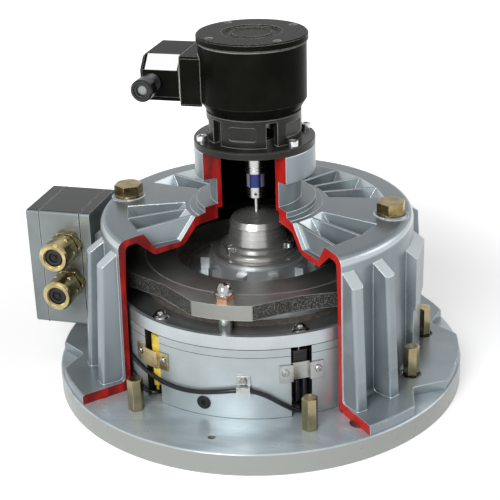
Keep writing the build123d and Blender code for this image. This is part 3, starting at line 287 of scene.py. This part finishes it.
def paintCasting(name, look, housing=False):
    bench = Bench(name)
    cloud = bench.noise(*look["cloud"])
    relief = bench.noise(*look["grain"])
    colour = bench.blend(bench.step(cloud, *look["tones"]), look["dark"], look["light"])
    # painted shade: level faces high up (the roof, the box top) are painted darker
    top = bench.step(bench.nz, *look["topLean"]) * (bench.z > look["topAbove"])
    colour = bench.blend(top, colour, scaled(look["dark"], look["top"]))
    # painted shade: deep corners and recesses are painted darker from the occlusion
    openness = bench.step(bench.shade(look["cornerReach"]), *look["cornerOpen"])
    colour = bench.blend(openness, scaled(look["dark"], look["corner"]), colour)
    if housing:
        # painted highlight on the sloping faces of the housing
        colour = bench.blend(onSlope(bench) * slopeHighlights["amount"], colour, slopeHighlights["tone"])
    # painted highlight: the edges are painted bright
    colour = bench.blend(bench.edges(look["edgeRadius"]) * look["edgeAmount"], colour, look["edge"])
    rough = look["roughness"] + look["roughCloud"] * (cloud - shared["middle"])
    metallic = look["metallic"]
    if housing:
        cut = onSection(bench)
        inside = inBell(bench) * (1.0 - cut)
        streaks = bench.step(bench.noise(*section["streaks"]), *section["streakTones"])
        # painted light: the right section plane is painted lighter than the left
        brushAndLight = streaks + section["rightLitGain"] * (bench.x > 0.0)
        colour = bench.blend(cut, colour, bench.blend(brushAndLight, section["red"], section["redLight"]))
        # painted shade: the inside of the bell is painted near black
        colour = bench.blend(inside, colour, bell["tone"])
        metallic = metallic * (1.0 - cut) * (1.0 - inside) + inside
        rough = rough + cut * section["rougher"] + inside * bell["rougher"]
        relief = relief * (1.0 - section["smoother"] * cut)
    normal = bench.bump(relief, look["relief"], look["depth"],
                        bench.rounded(look["edgeRadius"] * look["rounding"]))
    bench.set(Base_Color=colour, Metallic=metallic, Roughness=rough, Normal=normal,
              Specular_IOR_Level=look["gloss"])
    return bench


dress(paintCasting("housingPaint", castPaint, housing=True), ["housing_cover"])
dress(paintCasting("boxPaint", boxPaint), ["terminal_box", "box_lid", "box_plate"])


# Base flange: satin paint with wiping marks on top, a greyer rim and edges painted bright, a painted
# highlight
baseLook = {"top": (0.49, 0.56, 0.6), "smear": (0.36, 0.42, 0.455), "rim": (0.34, 0.355, 0.34),
            "edge": (0.88, 0.93, 0.95), "cloud": (16.0, 4.0, (1.0, 2.2, 1.0)),
            "smears": (38.0, 3.0, (0.6, 2.4, 1.0)), "smearShare": 0.4, "tones": (0.42, 0.66),
            "topLean": (0.3, 0.8), "edgeRadius": 0.0016, "edgeAmount": 0.8, "rounding": 0.001,
            "metallic": 0.4, "roughness": 0.26, "roughSmear": 0.2, "smearMiddle": 0.4, "roughGrain": 0.05,
            "grain": (1200.0, 2.0), "relief": 0.06, "depth": 0.0002}


def satinBase(look):
    bench = Bench("satinBase")
    cloud = bench.noise(*look["cloud"])
    smears = bench.noise(*look["smears"])
    grain = bench.noise(*look["grain"])
    wiped = cloud * (1.0 - look["smearShare"]) + smears * look["smearShare"]
    top = bench.blend(bench.step(wiped, *look["tones"]), look["top"], look["smear"])
    tone = bench.blend(1.0 - bench.step(abs(bench.nz), *look["topLean"]), top, look["rim"])
    # painted highlight along the edges
    tone = bench.blend(bench.edges(look["edgeRadius"]) * look["edgeAmount"], tone, look["edge"])
    rough = look["roughness"] + look["roughSmear"] * (smears - look["smearMiddle"])
    rough = rough + look["roughGrain"] * grain
    normal = bench.bump(grain, look["relief"], look["depth"], bench.rounded(look["rounding"]))
    bench.set(Base_Color=tone, Metallic=look["metallic"], Roughness=rough, Normal=normal)
    return bench


dress(satinBase(baseLook), ["base_flange"])


# Turned metal: lathe lines as bump, a soft cloud in the tone and a painted highlight along the edges
turnedLook = {"cloud": (30.0, 3.0), "linesShare": 0.4, "tones": (0.3, 0.75), "shade": 0.8, "edge": 1.4,
              "edgeAmount": 0.7, "edgeRadius": 0.0008, "depth": 0.0003, "roughLines": 0.14}


def turnMetal(name, colour, roughness, period=0.0006, relief=0.15, metallic=1.0, extra=None):
    look = turnedLook
    bench = Bench(name)
    lines = bench.rings(period)
    cloud = bench.noise(*look["cloud"])
    wearAndGlint = cloud * (1.0 - look["linesShare"]) + lines * look["linesShare"]
    tone = bench.blend(bench.step(wearAndGlint, *look["tones"]), scaled(colour, look["shade"]), colour)
    # painted highlight: the edges are painted brighter
    edge = bench.edges(look["edgeRadius"]) * look["edgeAmount"]
    tone = bench.blend(edge, tone, scaled(colour, look["edge"]))
    if extra:
        tone = extra(bench, tone)
    rough = roughness + look["roughLines"] * (lines - shared["middle"])
    bench.set(Base_Color=tone, Metallic=metallic, Roughness=rough,
              Normal=bench.bump(lines, relief, look["depth"], bench.turnedNormal()))
    return bench


# Magnet body: seam lines on the outside, and painted shade on the walls of the two switch windows
magnetLook = {"seams": (0.0846, 0.02235), "halfLine": 0.00026, "line": (0.04, 0.04, 0.04),
              "window": (0.02, 0.02, 0.021), "outside": 0.1405, "windowFloor": 0.116, "wallLean": 0.5}

# Armature plate: the face inside its rim is painted darker, painted shade
armatureLook = {"groundShade": (0.24, 0.25, 0.25), "rimRadius": 0.1365, "topLean": 0.9}


def magnetExtra(bench, tone):
    look = magnetLook
    for height in look["seams"]:
        seam = bench.near(bench.z, height, look["halfLine"]) * (bench.radius() > look["outside"])
        tone = bench.blend(seam, tone, look["line"])
    # painted shade: the walls in the switch windows are painted near black
    window = bench.between(bench.radius(), look["windowFloor"], look["outside"])
    return bench.blend(window * (abs(bench.nz) < look["wallLean"]), tone, look["window"])


def armatureExtra(bench, tone):
    # painted shade on the face inside the rim
    groundShade = (bench.nz > armatureLook["topLean"]) * (bench.radius() < armatureLook["rimRadius"])
    return bench.blend(groundShade, tone, armatureLook["groundShade"])


turnedSteels = {
    "magnetSteel": {"colour": (0.47, 0.525, 0.54), "roughness": 0.33, "metallic": 0.55,
                    "extra": magnetExtra, "on": ["magnet_body", "pole_ring"]},
    "armatureSteel": {"colour": (0.56, 0.61, 0.63), "roughness": 0.32, "metallic": 0.75,
                      "extra": armatureExtra, "on": ["armature_plate"]},
    "hubSteel": {"colour": (0.6, 0.63, 0.64), "roughness": 0.44, "period": 0.0008, "relief": 0.2,
                 "metallic": 0.85, "on": ["rotor_hub", "disc_carrier"]},
    "adapterSteel": {"colour": (0.45, 0.45, 0.44), "roughness": 0.28, "period": 0.0011, "relief": 0.03,
                     "metallic": 0.8, "on": ["hub_adapter"]},
    "couplingSteel": {"colour": (0.5, 0.5, 0.49), "roughness": 0.26, "period": 0.0005, "relief": 0.05,
                      "on": ["encoder_shaft", "encoder_bearings", "drive_pin", "coupling_lower",
                             "coupling_upper"]},
}
dressAll(turnMetal, turnedSteels)


# Plain metals: studs, nuts, screws and sheet; the worn tone is the tone in the hollows of the cloud, and
# the edges are painted bright, a painted highlight
plainLook = {"cloud": (90.0, 3.0), "tones": (0.32, 0.72), "shade": 0.72, "edge": 1.3, "edgeAmount": 0.6,
             "edgeRadius": 0.0006, "rounding": 0.0004, "roughCloud": 0.2, "grain": (1400.0, 2.0),
             "relief": 0.1, "depth": 0.0001}


def plainMetal(name, colour, roughness, wearAndGlint=None, edge=None):
    look = plainLook
    bench = Bench(name)
    cloud = bench.noise(*look["cloud"])
    grain = bench.noise(*look["grain"])
    wearAndGlint = wearAndGlint or scaled(colour, look["shade"])
    edge = edge or scaled(colour, look["edge"])
    tone = bench.blend(bench.step(cloud, *look["tones"]), wearAndGlint, colour)
    # painted highlight along the edges
    tone = bench.blend(bench.edges(look["edgeRadius"]) * look["edgeAmount"], tone, edge)
    rough = roughness + look["roughCloud"] * (cloud - shared["middle"])
    bench.set(Base_Color=tone, Metallic=1.0, Roughness=rough,
              Normal=bench.bump(grain, look["relief"], look["depth"], bench.rounded(look["rounding"])))
    return bench


plainMetals = {
    "screwSteel": {"colour": (0.7, 0.71, 0.73), "roughness": 0.28,
                   "on": ["foot_studs", "body_screws", "adapter_screws", "encoder_flange_bolts",
                          "box_mount_screws", "box_lid_screws"]},
    "smallScrews": {"colour": (0.42, 0.43, 0.43), "roughness": 0.18, "wearAndGlint": (0.16, 0.17, 0.16),
                    "on": ["bracket_screws"]},
    "chrome": {"colour": (0.46, 0.46, 0.45), "roughness": 0.13, "on": ["clamp_studs", "armature_bolts"]},
    "sleeveSteel": {"colour": (0.6, 0.61, 0.6), "roughness": 0.4, "on": ["guide_sleeves"]},
    "copperPlate": {"colour": (0.42, 0.25, 0.16), "roughness": 0.26, "wearAndGlint": (0.25, 0.14, 0.085),
                    "edge": (0.8, 0.6, 0.45), "on": ["clamp_nuts"]},
    "oliveBrass": {"colour": (0.4, 0.34, 0.2), "roughness": 0.2, "wearAndGlint": (0.31, 0.26, 0.15),
                   "edge": (0.84, 0.78, 0.55), "on": ["foot_nuts"]},
    "agedBrass": {"colour": (0.36, 0.28, 0.13), "roughness": 0.28, "wearAndGlint": (0.19, 0.14, 0.06),
                  "edge": (0.8, 0.7, 0.42), "on": ["access_plugs"]},
    "yellowBrass": {"colour": (0.58, 0.48, 0.25), "roughness": 0.24, "wearAndGlint": (0.36, 0.29, 0.14),
                    "edge": (0.92, 0.84, 0.58), "on": ["gland_bodies", "gland_nuts"]},
    "goldZinc": {"colour": (0.66, 0.52, 0.25), "roughness": 0.28, "wearAndGlint": (0.42, 0.36, 0.22),
                 "edge": (0.95, 0.88, 0.6), "on": ["bracket_left"]},
    "brightSheet": {"colour": (0.47, 0.48, 0.47), "roughness": 0.3, "wearAndGlint": (0.36, 0.37, 0.36),
                    "on": ["bracket_right", "cable_clip"]},
    "springSteel": {"colour": (0.45, 0.45, 0.47), "roughness": 0.3, "on": ["brake_springs"]},
    "plungerSteel": {"colour": (0.7, 0.7, 0.71), "roughness": 0.25,
                     "on": ["plunger_left", "plunger_right"]},
}
dressAll(plainMetal, plainMetals)


# Counter plate: lathe turned faces, flame cut notches and a fine turned groove; the groove and the edges
# are painted bright, painted highlights
counterLook = {"face": (0.5, 0.515, 0.49), "shade": (0.34, 0.35, 0.335), "cloud": (22.0, 4.0),
               "period": 0.0007, "linesShare": 0.3, "tones": (0.3, 0.7), "wallLean": 0.5,
               "cut": (0.022, 0.022, 0.02), "cutLight": (0.17, 0.17, 0.155), "pits": (900.0, 5.0),
               "pitTones": (0.44, 0.66), "notchRadii": (0.1, 0.1325), "nose": (0.16, 0.155, 0.14),
               "noseAmount": 0.6, "groove": 0.1095, "grooveReach": 0.0009, "grooveLean": 0.3,
               "edge": (0.88, 0.87, 0.84), "edgeAmount": 0.9, "edgeRadius": 0.0009, "cutMetal": 0.35,
               "roughness": 0.42, "cutRough": 0.16, "roughCloud": 0.1, "linesHeight": 0.4, "relief": 0.55,
               "depth": 0.0006}


def counterSteel(look):
    bench = Bench("counterSteel")
    radius = bench.radius()
    upright = abs(bench.nz) < look["wallLean"]
    notch = upright * bench.between(radius, *look["notchRadii"])
    lines = bench.rings(look["period"])
    cloud = bench.noise(*look["cloud"])
    pits = bench.noise(*look["pits"])
    wearAndGlint = cloud * (1.0 - look["linesShare"]) + lines * look["linesShare"]
    face = bench.blend(bench.step(wearAndGlint, *look["tones"]), look["shade"], look["face"])
    cut = bench.blend(bench.step(pits, *look["pitTones"]), look["cut"], look["cutLight"])
    tone = bench.blend(notch, face, cut)
    nose = upright * (radius > look["notchRadii"][1])
    tone = bench.blend(nose * look["noseAmount"], tone, look["nose"])
    # painted highlight: the turned groove is painted bright
    groove = bench.near(radius, look["groove"], look["grooveReach"]) * (bench.nz > look["grooveLean"])
    tone = bench.blend(groove, tone, look["edge"])
    # painted highlight along the edges
    tone = bench.blend(bench.edges(look["edgeRadius"]) * look["edgeAmount"], tone, look["edge"])
    rough = look["roughness"] + look["cutRough"] * notch + look["roughCloud"] * (cloud - shared["middle"])
    height = lines * look["linesHeight"] * (1.0 - notch) + pits * notch
    bench.set(Base_Color=tone, Metallic=1.0 - look["cutMetal"] * notch, Roughness=rough,
              Normal=bench.bump(height, look["relief"], look["depth"], bench.turnedNormal()))
    return bench


dress(counterSteel(counterLook), ["counter_plate"])


# Dark painted and plastic pieces; their edges can be painted a bright tone, a painted highlight, and a
# patch is a place with another tone
darkLook = {"cloud": (40.0, 3.0), "tones": (0.3, 0.8), "lightGain": 1.5, "lightAdd": 0.002,
            "grainDetail": 3.0, "roughGrain": 0.1, "patchMetal": 0.6, "patchRough": 0.12,
            "depth": 0.0002, "rounding": 0.0005}


def darkFinish(name, colour, roughness, gloss=0.5, wearAndGlint=None, grain=600.0, relief=0.1, edgeAmount=0.5,
               edgeRadius=0.0008, patch=None, patchTone=(0.8, 0.81, 0.8)):
    look = darkLook
    bench = Bench(name)
    cloud = bench.noise(*look["cloud"])
    fine = bench.noise(grain, look["grainDetail"])
    lighter = tuple(part * look["lightGain"] + look["lightAdd"] for part in colour)
    tone = bench.blend(bench.step(cloud, *look["tones"]), colour, lighter)
    metallic = 0.0
    rough = roughness + look["roughGrain"] * (fine - shared["middle"])
    if wearAndGlint:
        # painted highlight: bright lines painted along the edges
        tone = bench.blend(bench.edges(edgeRadius) * edgeAmount, tone, wearAndGlint)
    if patch:
        mask = patch(bench)
        tone = bench.blend(mask, tone, patchTone)
        metallic = mask * look["patchMetal"]
        rough = rough + mask * look["patchRough"]
    bench.set(Base_Color=tone, Metallic=metallic, Roughness=rough, Specular_IOR_Level=gloss,
              Normal=bench.bump(fine, relief, look["depth"], bench.rounded(look["rounding"])))
    return bench


# A painted highlight: a bright patch painted on the slope at the front top of the encoder's side box
slopeGlintLook = {"lean": 0.707, "leanReach": 0.1, "front": -0.6, "sides": (-0.0965, -0.0655)}

# Three metal jaws that reach between the blue arms of the coupling's insert
jawLook = {"count": 3.0, "turn": 80, "width": -0.45}


# painted highlight on the front slope of the encoder's side box
def slopeGlint(bench):
    slope = bench.near(bench.nz, slopeGlintLook["lean"], slopeGlintLook["leanReach"])
    return slope * (bench.ny < slopeGlintLook["front"]) * bench.between(bench.x, *slopeGlintLook["sides"])


def insertJaws(bench):
    turn = (bench.angle() + radians(jawLook["turn"])) * jawLook["count"]
    return turn.maths("COSINE", turn) < jawLook["width"]


blackPaint = {"colour": (0.0045, 0.0046, 0.0032), "roughness": 0.26, "gloss": 0.02,
              "wearAndGlint": (0.78, 0.78, 0.72), "edgeAmount": 0.95, "edgeRadius": 0.0021}
darkFinishes = {
    "encoderBlack": {**blackPaint, "on": ["encoder_body", "encoder_lid"]},
    "encoderBoxBlack": {**blackPaint, "patch": slopeGlint, "on": ["encoder_box_lid"]},
    "legCasting": {"colour": (0.011, 0.0112, 0.009), "roughness": 0.3, "gloss": 0.2,
                   "wearAndGlint": (0.55, 0.54, 0.48), "grain": 420.0, "relief": 0.3, "edgeAmount": 0.75,
                   "edgeRadius": 0.0014, "on": ["encoder_flange"]},
    "blackRubber": {"colour": (0.01, 0.01, 0.011), "roughness": 0.45, "gloss": 0.35,
                    "on": ["housing_seal", "box_gasket", "box_lid_gasket", "gland_seals"]},
    "cableJacket": {"colour": (0.004, 0.005, 0.007), "roughness": 0.2, "gloss": 0.35, "grain": 300.0,
                    "relief": 0.04, "on": ["cable", "short_lead"]},
    "blackPlastic": {"colour": (0.007, 0.007, 0.008), "roughness": 0.25, "gloss": 0.3,
                     "wearAndGlint": (0.3, 0.3, 0.3),
                     "on": ["side_plug", "switch_right", "encoder_gland", "encoder_gland_nut",
                            "encoder_lid_screws"]},
    "greyPlug": {"colour": (0.2, 0.21, 0.21), "roughness": 0.4, "on": ["encoder_gland_plug"]},
    "blueInsert": {"colour": (0.008, 0.016, 0.13), "roughness": 0.3, "gloss": 0.4, "patch": insertJaws,
                   "patchTone": (0.5, 0.5, 0.49), "on": ["coupling_insert"]},
    "yellowPlastic": {"colour": (0.6, 0.45, 0.05), "roughness": 0.3, "wearAndGlint": (0.95, 0.88, 0.5),
                      "on": ["switch_left"]},
    "creamPlastic": {"colour": (0.68, 0.65, 0.56), "roughness": 0.4, "on": ["terminal_strip"]},
    "coilResin": {"colour": (0.16, 0.07, 0.03), "roughness": 0.4, "grain": 900.0, "relief": 0.3,
                  "on": ["coil"]},
}
dressAll(darkFinish, darkFinishes)


# Friction lining: pressed, with short fibres and flecks of brass
liningLook = {"stops": [(0.3, (0.05, 0.042, 0.036)), (0.7, (0.13, 0.11, 0.09))], "fibres": (260.0, 5.0),
              "flecks": (1100.0, 4.0), "fleckFrom": 0.68, "brass": (0.6, 0.45, 0.22), "roughness": 0.75,
              "brassRough": 0.35, "relief": 0.4, "depth": 0.0003}


def pressedLining(look):
    bench = Bench("pressedLining")
    flecks = bench.noise(*look["flecks"])
    base = bench.tint(bench.noise(*look["fibres"]), look["stops"])
    brass = flecks > look["fleckFrom"]
    bench.set(Base_Color=bench.blend(brass, base, look["brass"]), Metallic=brass,
              Roughness=look["roughness"] - look["brassRough"] * brass,
              Normal=bench.bump(flecks, look["relief"], look["depth"]))
    return bench


dress(pressedLining(liningLook), ["friction_linings"])


# Code disc: a clear disc with a ring of dark lines
discLook = {"clear": (0.75, 0.8, 0.84), "line": (0.02, 0.02, 0.02), "lines": 120.0,
            "track": (0.026, 0.033), "roughness": 0.08, "lineRough": 0.3, "alpha": 0.45, "lineAlpha": 0.5}


def linedGlass(look):
    bench = Bench("linedGlass")
    turn = bench.angle() * look["lines"]
    line = (turn.maths("SINE", turn) > 0.0) * bench.between(bench.radius(), *look["track"])
    bench.set(Base_Color=bench.blend(line, look["clear"], look["line"]),
              Roughness=look["roughness"] + look["lineRough"] * line,
              Alpha=look["alpha"] + look["lineAlpha"] * line)
    return bench


dress(linedGlass(discLook), ["code_disc"])
print("materials done")


# Floor: it glows more where it is far from the object, so that it ends in white
floorLook = {"half": 3.0, "tone": (0.86, 0.86, 0.86), "nearGlow": (0.42, 0.42, 0.42),
             "farGlow": (1.0, 1.0, 1.0), "far": (0.3, 0.8), "roughness": 0.9}


def makeFloor(look):
    # a level square of one face
    half = look["half"]
    corners = [(-half, -half, 0), (half, -half, 0), (half, half, 0), (-half, half, 0)]
    mesh = bpy.data.meshes.new("floor")
    mesh.from_pydata(corners, [], [(0, 1, 2, 3)])
    floor = bpy.data.objects.new("floor", mesh)
    bpy.context.scene.collection.objects.link(floor)
    bench = Bench("floorPaint")
    glow = bench.blend(bench.step(bench.radius(), *look["far"]), look["nearGlow"], look["farGlow"])
    glow = bench.blend(bench.seenRay(), (0, 0, 0), glow)
    bench.set(Base_Color=look["tone"], Roughness=look["roughness"], Specular_IOR_Level=0.0,
              Emission_Color=glow, Emission_Strength=1.0)
    mesh.materials.append(bench.material)


worldLight = 0.27  # what the world sends on the object; where it is seen it is plain white


def makeWorld(light):
    world = bpy.data.worlds.new("studio")
    bpy.context.scene.world = world
    tree = Tree(world)
    background = tree.nodes["Background"]
    tree.feed(background.inputs["Color"], (1, 1, 1))
    tree.feed(background.inputs["Strength"], light + tree.seenRay() * (1.0 - light))


lampTarget = (0, 0, 0.15)
lamps = {"key": {"place": (-0.25, -1.83, 1.12), "size": 1.1, "power": 34.0},
         "top": {"place": (-0.3, -0.3, 2.3), "size": 0.9, "power": 2.0},
         "rim": {"place": (1.5, 0.6, 1.0), "size": 1.0, "power": 5.0}}


def makeLamp(name, place, size, power):
    data = bpy.data.lights.new(name, "AREA")
    data.shape = "DISK"
    data.size = size
    data.energy = power
    lamp = bpy.data.objects.new(name, data)
    lamp.location = place
    lamp.rotation_mode = "QUATERNION"
    lamp.rotation_quaternion = (Vector(lampTarget) - Vector(place)).to_track_quat("-Z", "Y")
    bpy.context.scene.collection.objects.link(lamp)


# Camera: angles in degrees, lens and sensor in millimetres; turn swings all of it round the upright axis
view = {"distance": 1.102, "height": 0.605, "turn": 15.0, "pitch": 23.38, "yaw": -0.39, "roll": -1.72,
        "lens": 88.38, "sensor": 36.0}


def makeCamera(look):
    pitch, yaw, roll = radians(look["pitch"]), radians(look["yaw"]), radians(look["roll"])
    ahead = Vector((sin(yaw) * cos(pitch), cos(yaw) * cos(pitch), -sin(pitch)))
    level = Vector((cos(yaw), -sin(yaw), 0))
    upward = level.cross(ahead)
    right = level * cos(roll) + upward * sin(roll)
    top = upward * cos(roll) - level * sin(roll)
    facing = Matrix((right, top, -ahead)).transposed().to_4x4()
    turn = Matrix.Rotation(radians(look["turn"]), 4, "Z")
    data = bpy.data.cameras.new("camera")
    data.lens = look["lens"]
    data.sensor_width = look["sensor"]
    camera = bpy.data.objects.new("camera", data)
    bpy.context.scene.collection.objects.link(camera)
    camera.matrix_world = turn @ Matrix.Translation((0, -look["distance"], look["height"])) @ facing
    bpy.context.scene.camera = camera


makeFloor(floorLook)
makeWorld(worldLight)
for name, lamp in lamps.items():
    makeLamp(name, **lamp)
makeCamera(view)
bpy.context.scene.view_settings.view_transform = "Standard"
print("floor, light and camera done")
